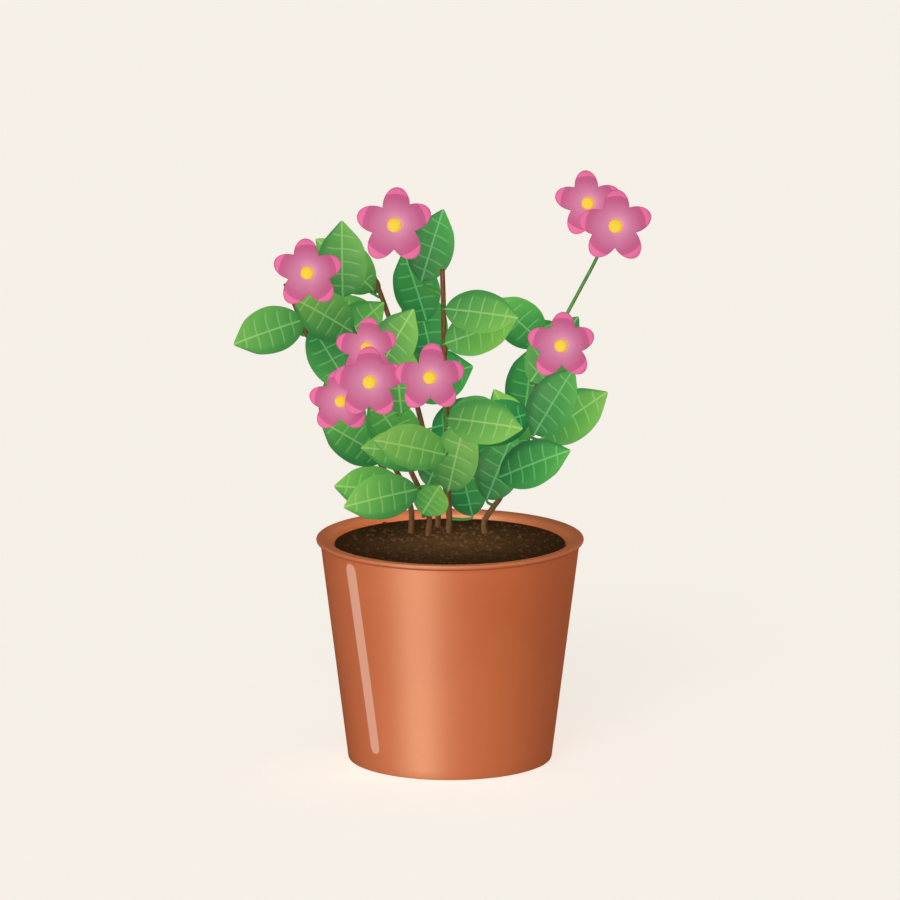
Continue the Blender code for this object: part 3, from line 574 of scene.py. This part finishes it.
blooms = dict(
    bloom_top=dict(stem="stem_back", middle=(-29, 278, -6), radius=20.1, start=(-27, 274, 13),
        turns=(5, 67, 147, 215, 287)),
    bloom_left=dict(stem="stem_far_left", middle=(-74.5, 253, -12), radius=18.3, start=(-84, 243, 11),
        turns=(356, 71, 139, 214, 291)),
    bloom_high_right_rear=dict(stem="stem_right", middle=(72, 289.5, 4), radius=17.5, start=(79, 266, 9),
        turns=(355, 69, 144, 207, 286)),
    bloom_high_right=dict(stem="stem_right", middle=(86.5, 277.5, -8), radius=19.3, start=(80, 268, 8),
        turns=(2, 70, 146, 219, 282)),
    bloom_right=dict(stem="stem_right", middle=(58, 215, -14), radius=18.0, start=(54, 213, 6),
        turns=(5, 69, 139, 217, 290)),
    bloom_cluster_upper=dict(stem="stem_left", middle=(-43.5, 214, -12), radius=16.2, start=(-42, 202, 16),
        turns=(6, 68, 144, 212, 285)),
    bloom_cluster_front=dict(stem="stem_left", middle=(-42, 196, -22), radius=18.8, start=(-39, 193, 17),
        turns=(359, 71, 148, 213, 284)),
    bloom_cluster_low=dict(stem="stem_far_left", middle=(-57, 186, -12), radius=16.7, start=(-53.5, 181.5, 16),
        turns=(352, 70, 139, 220, 284)),
    bloom_centre=dict(stem="stem_centre", middle=(-10.5, 198.4, -24), radius=18.3, start=(-2.2, 193, 13),
        turns=(5, 74, 140, 217, 281)))
# a petal's longHalf and wideHalf, eye, cup, throat, throatWide and bend are shares of the bloom's radius; tilt
# is degrees; the rest is mm
bloomShape = dict(longHalf=0.5, wideHalf=0.35, steps=180, rings=22, thick=0.9, tube=5.0, tubeWide=1.4,
                  eye=0.19, eyeHigh=1.25, gap=0.3, tilt=8.0, calyx=3.0, calyxWide=2.1, stalk=0.8, cup=0.035,
                  throat=0.13, throatWide=0.22, bend=0.09)


def tubeGrid(line, radii, sides):
    # a ring round each point of the line, square to its course; the ends shrink to their middles
    course = unit(np.gradient(line, axis=0))
    first = np.array([1.0, 0, 0])
    across = unit(first - course * (course @ first)[:, None])
    other = np.cross(course, across)
    angle = np.arange(sides) / sides * math.tau
    rings = line[:, None] + (across[:, None] * np.cos(angle)[None, :, None]
                             + other[:, None] * np.sin(angle)[None, :, None]) * radii[:, None, None]
    closed = [np.repeat(line[:1, None], sides, 1), rings, np.repeat(line[-1:, None], sides, 1)]
    return np.concatenate(closed)[None]


def bladeShare(t):
    # half width of a blade as a share of its widest: sin(pi t^0.9)^0.6, drawn in over the last quarter
    last = np.clip((t - 0.75) / 0.25, 0, 1)
    return np.maximum(np.sin(math.pi * np.clip(t, 0, 1) ** 0.9), 0) ** 0.6 * (1 - 0.5 * last ** 1.5)


def nearestSpot(line, spots):
    # for each spot the point of the line that is nearest to it
    return line[np.linalg.norm(line[None] - spots[:, None], axis=2).argmin(1)]


def petioleGrids(roots, feet, reach, along, normal, length):
    # a quadratic curve from the stem, by a point behind the blade's foot, to reach, and 3 mm on along the arch
    s = leafShape
    bend = feet - along * s["back"]
    share = np.linspace(0, 1, 10)[:, None]
    grids = []
    for i in range(len(feet)):
        path = roots[i] * (1 - share) ** 2 + bend[i] * 2 * share * (1 - share) + reach[i] * share ** 2
        path = np.vstack([path, reach[i] + along[i] * 3 + normal[i] * s["arch"] * length[i, 0] * 0.25])
        radii = np.linspace(s["petiole"] * 1.05, s["petiole"] * 0.6, len(path))
        grids.append(tubeGrid(path, radii, s["petioleSides"])[0])
    return np.array(grids)


def leafGrids(feet, tips, widths, facing, shades, carriers, drop):
    # a blade's ring at share t: from the left margin (span -1) over the top to the right one (span 1) and
    # back below. Height over the straight line = arch 4t(1-t) + fold |span|^1.3 + puffs between the veins +
    # waves at the margins. Its painted shade runs from low to high with the share along it and across it
    s, paintedShading = leafShape, paintedLeafShade
    along = unit(tips - feet)
    length = np.linalg.norm(tips - feet, axis=1)[:, None, None]
    normal = unit(facing - along * (along @ facing)[:, None])
    side = np.cross(along, normal)
    reach = feet + along * s["reach"]
    t = 0.5 - 0.5 * np.cos(np.linspace(0, math.pi, s["rows"]))[None, :, None]
    span = np.sin(np.linspace(-1, 1, 2 * s["half"] + 1) * math.pi / 2)[None, None]
    out = np.abs(span)
    half = np.maximum(widths[:, None, None] / 2 * bladeShare(t), s["petiole"] * (1 - t) + 0.12 * t)
    lift = s["fold"] * np.maximum(half - s["petiole"], 0) * out ** 1.3
    lift = lift + s["arch"] * length * 4 * t * (1 - t)
    veins = (t + leafLook["veinLean"] * span * out - leafLook["firstVein"]) / leafLook["veinStep"]
    # puffs fade out at the midrib, the margins and the foot
    inner = np.clip(out * 4, 0, 1) * np.clip((1 - out) * 3, 0, 1) * np.clip(t * 8, 0, 1)
    lift = lift + s["puff"] * inner * np.sin(math.pi * veins) ** 2 * (half > 3)
    number = np.arange(len(feet))[:, None, None]
    phase = t * 17 + number * 2.1 + np.sign(span)   # each leaf's waves start elsewhere
    lift = lift + s["wave"] * out ** 4 * np.sin(phase) * np.sin(math.pi * t)
    thick = np.maximum(s["thick"] / 2 * (1 - 0.25 * out ** 3), (s["petiole"] - 4 * t) * (1 - out ** 2))
    middle = reach[:, None, None] + (tips - reach)[:, None, None] * t[..., None]
    flat = middle + side[:, None, None] * (half * span)[..., None]
    top = flat + normal[:, None, None] * (lift + thick)[..., None]
    under = flat + normal[:, None, None] * (lift - thick)[..., None]
    rings = np.concatenate([top, under[:, :, ::-1]], 2)
    spans = np.broadcast_to(np.concatenate([span, span[..., ::-1]], 2), rings.shape[:3])
    alongs = np.broadcast_to(t, rings.shape[:3])
    halves = np.broadcast_to(half, rings.shape[:3])
    low, high = shades[:, :1, None], shades[:, 1:2, None]
    # painted shade: darker at the foot, darker on one side and darkest on that side's margin
    bright = paintedShading["foot"] + paintedShading["along"] * alongs + paintedShading["across"] * spans * np.clip(alongs * 5, 0, 1)
    bright = bright - paintedShading["margin"] * np.clip(-spans - paintedShading["marginFrom"], 0, 0.3) / 0.3
    shade = low + (high - low) * np.clip(bright, 0, 1)
    centres = np.repeat(rings.mean(2, keepdims=True), rings.shape[2], 2)
    rings = np.concatenate([centres[:, :1], rings, centres[:, -1:]], 1)   # closed at the foot and the tip

    def capped(values):
        return np.concatenate([values[:, :1], values, values[:, -1:]], 1)

    fields = dict(span=capped(spans), along=capped(alongs), across=capped(spans * halves),
                  shade=capped(shade))
    fields["cool"] = np.broadcast_to(shades[:, 2:, None], fields["span"].shape)
    uv = np.stack([0.5 + 0.5 * fields["span"], fields["along"]], -1)
    roots = nearestSpot(carriers, feet - np.array([0, 0, drop]))
    return rings, fields, uv, petioleGrids(roots, feet, reach, along, normal, length)


def bloomFrame(spot):
    # the bloom's middle, its up and right directions, and the way it looks
    tilt = math.radians(seenFrom["rise"] + bloomShape["tilt"])
    forward = np.array([0, -math.cos(tilt), math.sin(tilt)])
    right = np.array([1.0, 0, 0])
    return placeSpots(spot)[0], np.cross(forward, right), right, forward


def bloomStalk(bloom, carriers):
    # a bend from the stem to the calyx, which widens to hold the bloom's tube
    s = bloomShape
    middle, _, _, forward = bloomFrame(bloom["middle"])
    seat = middle - forward * (s["tube"] + s["gap"])
    heel = seat - forward * s["calyx"]
    root = nearestSpot(carriers, placeSpots(bloom["start"]))[0]
    bend = heel - forward * min(8.0, np.linalg.norm(heel - root) * 0.5)
    share = np.linspace(0, 1, 20)[:, None]
    path = root * (1 - share) ** 2 + bend * 2 * share * (1 - share) + (heel + forward) * share ** 2
    cup = heel + forward * (np.linspace(0, 1, 9)[:, None] * s["calyx"])
    cupWide = s["stalk"] + (s["calyxWide"] - s["stalk"]) * np.linspace(0, 1, 9) ** 0.6
    stalk = tubeGrid(path, np.full(len(path), s["stalk"]), stemLook["stalkSides"])
    return stalk, tubeGrid(cup, cupWide, 20)


def makeStem(name, plan):
    # bark: a tube from below the soil up the stem, and one up the side shoot. Green: the tall stalk, petioles
    # and bloom stalks, each from the nearest point of what carries it. Blades: the front and rear leaves
    s = stemLook
    line = placeSpots(plan["line"])
    carriers = smoothLine(line, 12)
    above = line[line[:, 2] > soil["top"] + 3]
    foot = np.array([[*above[0, :2], soil["top"]]])
    wood = smoothLine(np.vstack([foot - [[0, 0, s["buried"]]], foot, above]), s["steps"])
    bark = [(tubeGrid(wood, np.linspace(*plan["wide"], len(wood)), s["sides"]), {}, None)]
    green = []
    if "shoot" in plan:
        shoot = smoothLine(placeSpots(plan["shoot"]), s["steps"])
        bark.append((tubeGrid(shoot, np.linspace(*s["shoot"], len(shoot)), s["sides"]), {}, None))
        carriers = np.vstack([carriers, smoothLine(placeSpots(plan["shoot"]), 12)])
    if "stalk" in plan:
        tall = smoothLine(placeSpots(plan["stalk"]), 8)
        green.append((tubeGrid(tall, np.linspace(*s["stalk"], len(tall)), s["stalkSides"]), {}, None))
        carriers = np.vstack([carriers, smoothLine(placeSpots(plan["stalk"]), 12)])
    look = math.radians(leafShape["frontLook"])
    groups = [(plan["leaves"], np.array([0, -math.cos(look), math.sin(look)]), leafShape["frontDrop"]),
              (plan["rear"], np.array(leafShape["rearLook"]), leafShape["rearDrop"])]
    blades = []
    for rows, facing, drop in groups:
        if not rows:
            continue
        feet, tips = placeSpots([row[0] for row in rows]), placeSpots([row[1] for row in rows])
        shades = np.array([tones[row[3] if len(row) > 3 else "rear"] for row in rows])
        widths = np.array([row[2] for row in rows], float)
        rings, fields, uv, petioles = leafGrids(feet, tips, widths, facing, shades, carriers, drop)
        blades.append((rings, fields, uv))
        green.append((petioles, {}, None))
    for bloom in blooms.values():
        if bloom["stem"] == name:
            green += [(grid, {}, None) for grid in bloomStalk(bloom, carriers)]
    makePiece(name + "_bark", bark, barkMaterial, [name])
    makePiece(name + "_leaves", blades, leafMaterial, [name])
    makePiece(name + "_stalks", green, stalkMaterial, [name])


for name, plan in stems.items():
    makeStem(name, plan)
print("stems and leaves made")


def corollaHeight(share):
    # as shares of the radius: throat (1 - e^-(share / throatWide)^2), then petals bend back by bend share^2
    s = bloomShape
    return s["throat"] * (1 - np.exp(-(share / s["throatWide"]) ** 2)) - s["bend"] * share ** 2


def petalOutline(angle, turns):
    # the furthest of five ellipses that each start at the middle: 2 a cos(d) / (cos^2(d) + (a sin(d) / b)^2).
    # It gives that reach and how far to the side of its petal each direction is
    long, wide = bloomShape["longHalf"], bloomShape["wideHalf"]
    turns = np.radians(turns)[:, None]
    off = (angle[None] - turns + math.pi) % math.tau - math.pi
    reach = 2 * long * np.cos(off) / (np.cos(off) ** 2 + (long * np.sin(off) / wide) ** 2)
    reach = np.where(np.abs(off) < math.pi / 2, reach, 0)
    petal = reach.argmax(0)
    picked = np.arange(len(angle))
    return reach[petal, picked], np.sin(off[petal, picked])


def makeBloom(name, bloom):
    # rings from the middle out to the outline, at corollaHeight plus a cup across each petal, then back below
    # and down the short tube
    s = bloomShape
    middle, up, right, forward = bloomFrame(bloom["middle"])
    radius = bloom["radius"]
    angle = np.arange(s["steps"]) / s["steps"] * math.tau
    reach, beside = petalOutline(angle, bloom["turns"])
    share = np.linspace(0, 1, s["rings"])[:, None] ** 0.8
    out = reach[None] * share
    cup = s["cup"] * np.cos(beside * 2.2)[None] * np.sin(math.pi * np.clip(share, 0, 1)) * out
    height = (corollaHeight(out) + cup) * radius
    thick = s["thick"] * (1 - 0.35 * share ** 4)
    belowShare = share[::-1][:-4]
    below = reach[None] * belowShare
    underside = corollaHeight(below) * radius - thick[::-1][:-4]
    wide = s["tubeWide"] / radius
    tubeOut = np.array([[wide], [wide * 0.9], [0]]) + 0 * reach[None]
    tubeHeight = np.array([[-s["thick"] - 0.8], [-s["tube"]], [-s["tube"]]]) + 0 * reach[None]
    allOut = np.vstack([out, below, tubeOut])
    allHeight = np.vstack([height, underside, tubeHeight])
    outward = up * np.cos(angle)[:, None] + right * np.sin(angle)[:, None]
    grid = middle + outward[None] * (allOut * radius)[..., None] + forward * allHeight[..., None]
    edges = np.vstack([share, belowShare, np.zeros((3, 1))]) + 0 * reach[None]
    fields = dict(out=allOut[None], edge=edges[None], petalAcross=(beside[None] + 0 * allOut)[None])
    uv = np.stack([0.5 + 0.5 * allOut * np.sin(angle), 0.5 + 0.5 * allOut * np.cos(angle)], -1)
    makePiece(name + "_petals", [(grid[None], fields, uv[None])], petalMaterial, [name])
    # the eye: a low dome with a rounded rim, its foot just clear of the petals
    base = corollaHeight(s["eye"] * 1.15) * radius + s["gap"]
    turn = np.linspace(0, 1, 14)[:, None]
    domeOut = s["eye"] * radius * np.sin(turn * math.pi / 2) ** 0.8 + 0 * angle[None, ::3]
    domeHeight = base + s["eyeHigh"] * np.cos(turn * math.pi / 2) ** 1.1 + 0 * angle[None, ::3]
    closed = 0 * domeOut[:1]
    domeOut, domeHeight = np.vstack([domeOut, closed]), np.vstack([domeHeight, base + closed])
    dome = middle + outward[None, ::3] * domeOut[..., None] + forward * domeHeight[..., None]
    makePiece(name + "_eye_dome", [(dome[None], dict(out=(domeOut / domeOut.max())[None]), None)],
              eyeMaterial, [name + "_eye"])


for name, bloom in blooms.items():
    makeBloom(name, bloom)
print("blooms made")


# floor, light and camera

studio = dict(floor="#cdcbc8", floorGlow="#d4d3cd", glowShare=0.92, backdrop="#f7f2e7", fill="#ffe3cb",
              fillPower=0.24, sunWide=30)
# suns: power, degrees left of the view and above level, and whether they cast shadows. The key gives the form,
# the soft ones fill it, the bounce lifts what looks down, and the edges come from behind
suns = dict(key=(0.5, 15, 40, True), softKey=(1.58, 15, 15, False), softFill=(0.2, -85, 5, False),
            bounce=(0.42, 15, -30, False), edgeRight=(1.6, -140, 0, False), edgeLeft=(0.3, 140, 0, False))
# accents, none of which casts shadows: power, degrees left of the view and above level, and colour. A pane,
# with its width and height in m, gives gloss alone: one pales the lip, one the pot's front, one the glazed
# stripe. A beam, with its width in degrees, pales the far side of the rim
accents = dict(
    lipGlow=dict(power=50.0, left=30, up=55, colour="#ffe4bc", pane=(0.4, 0.8), potAlone=True),
    rimSpot=dict(power=22.0, left=-20, up=35, colour="#fff0e0", beam=9, away=1.0, aim=(-0.024, 0.062, 0.117),
                 potAlone=True),
    glow=dict(power=32.0, left=31.4, up=-26.4, colour="#ffe4bc", pane=(0.56, 0.25)),
    streak=dict(power=1.0, left=96, up=-21.6, colour="#fff4ee", pane=(0.5, 0.6)))


def makeFloor():
    # one wide flat disc: rings of points at growing radii. Part of its paleness is its own glow, which keeps
    # the shadow faint, and neither its light nor its reflection falls on the pot
    angle = np.arange(64) / 64 * math.tau
    radii = np.array([0.0, 0.5, 2.0, 6.0, 20.0, 60.0])[:, None]
    grid = np.stack([radii * np.cos(angle), radii * np.sin(angle), 0 * radii + 0 * angle], -1)
    mesh = bpy.data.meshes.new("floor")
    mesh.from_pydata(grid.reshape(-1, 3), [], gridFaces(1, len(radii), len(angle)).tolist())
    pale = Finish("paleFloor", Roughness=1.0, Specular_IOR_Level=0.0, Base_Color=linear(studio["floor"]),
                  Emission_Color=linear(studio["floorGlow"]), Emission_Strength=studio["glowShare"])
    mesh.materials.append(pale.material)
    floor = bpy.data.objects.new("floor", mesh)
    bpy.context.scene.collection.objects.link(floor)
    floor.visible_diffuse = False
    floor.visible_glossy = False


def addLight(name, kind, left, up, away=3.0, aim=(0, 0, 0.16)):
    # a light that shines at the aim from so many degrees left of the view and above level, and m away
    left, up = math.radians(left), math.radians(up)
    way = np.array([-math.sin(left) * math.cos(up), -math.cos(left) * math.cos(up), math.sin(up)])
    light = bpy.data.lights.new(name, kind)
    made = bpy.data.objects.new(name, light)
    made.location = np.array(aim) + way * away
    made.rotation_euler = Vector(-way).to_track_quat("-Z", "Y").to_euler()
    bpy.context.scene.collection.objects.link(made)
    made.visible_camera = False
    return made


def sunLight(name, power, left, up, shadow):
    # a wide soft sun; one without shadows isn't seen as gloss either
    made = addLight(name, "SUN", left, up)
    made.data.energy = power
    made.data.angle = math.radians(studio["sunWide"])
    made.data.use_shadow = shadow
    made.visible_glossy = shadow


def accentLight(name, power, left, up, colour, pane=None, beam=0, away=1.2, aim=(0, 0, 0.06), potAlone=False):
    # a pane that gives gloss and no diffuse light, or else a beam with soft edges
    made = addLight(name, "AREA" if pane else "SPOT", left, up, away, aim)
    made.data.energy = power
    made.data.color = linear(colour)[:3]
    made.data.use_shadow = False
    if pane:
        made.data.shape = "RECTANGLE"
        made.data.size, made.data.size_y = pane
        made.visible_diffuse = False
    else:
        made.data.shadow_soft_size = 0.04
        made.data.spot_size = math.radians(beam)
        made.data.spot_blend = 1.0
    if potAlone:   # the pot is then the one thing that it falls on
        lit = bpy.data.collections.new(name + " falls on")
        lit.objects.link(potPiece)
        made.light_linking.receiver_collection = lit


def makeWorld():
    # a warm fill that isn't seen as gloss, and a pale backdrop where the picture looks past the floor
    world = bpy.data.worlds.new("studio")
    bpy.context.scene.world = world
    world.use_nodes = True
    tree = world.node_tree
    fill = tree.nodes["Background"]
    fill.inputs["Color"].default_value = linear(studio["fill"])
    fill.inputs["Strength"].default_value = studio["fillPower"]
    behind = tree.nodes.new("ShaderNodeBackground")
    behind.inputs["Color"].default_value = linear(studio["backdrop"])
    path, both = tree.nodes.new("ShaderNodeLightPath"), tree.nodes.new("ShaderNodeMixShader")
    tree.links.new(path.outputs["Is Camera Ray"], both.inputs[0])
    tree.links.new(fill.outputs[0], both.inputs[1])
    tree.links.new(behind.outputs[0], both.inputs[2])
    tree.links.new(both.outputs[0], tree.nodes["World Output"].inputs["Surface"])
    world.cycles_visibility.glossy = False


makeFloor()
makeWorld()
for name, sun in suns.items():
    sunLight(name, *sun)
for name, accent in accents.items():
    accentLight(name, **accent)

# the camera stands where the spots were read from: m, with wide across the picture at the axis
view = dict(away=seenFrom["away"] / 1000, middle=seenFrom["middle"] / 1000, wide=0.47, sensor=36.0)
tilt = math.radians(seenFrom["rise"])
camera = bpy.data.objects.new("camera", bpy.data.cameras.new("camera"))
bpy.context.scene.collection.objects.link(camera)
camera.location = (0, -view["away"] * math.cos(tilt), view["middle"] + view["away"] * math.sin(tilt))
camera.rotation_euler = (math.pi / 2 - tilt, 0, 0)
camera.data.sensor_width = view["sensor"]
camera.data.lens = view["sensor"] * view["away"] / view["wide"]
bpy.context.scene.camera = camera
bpy.context.scene.view_settings.view_transform = "Standard"
print("studio made")
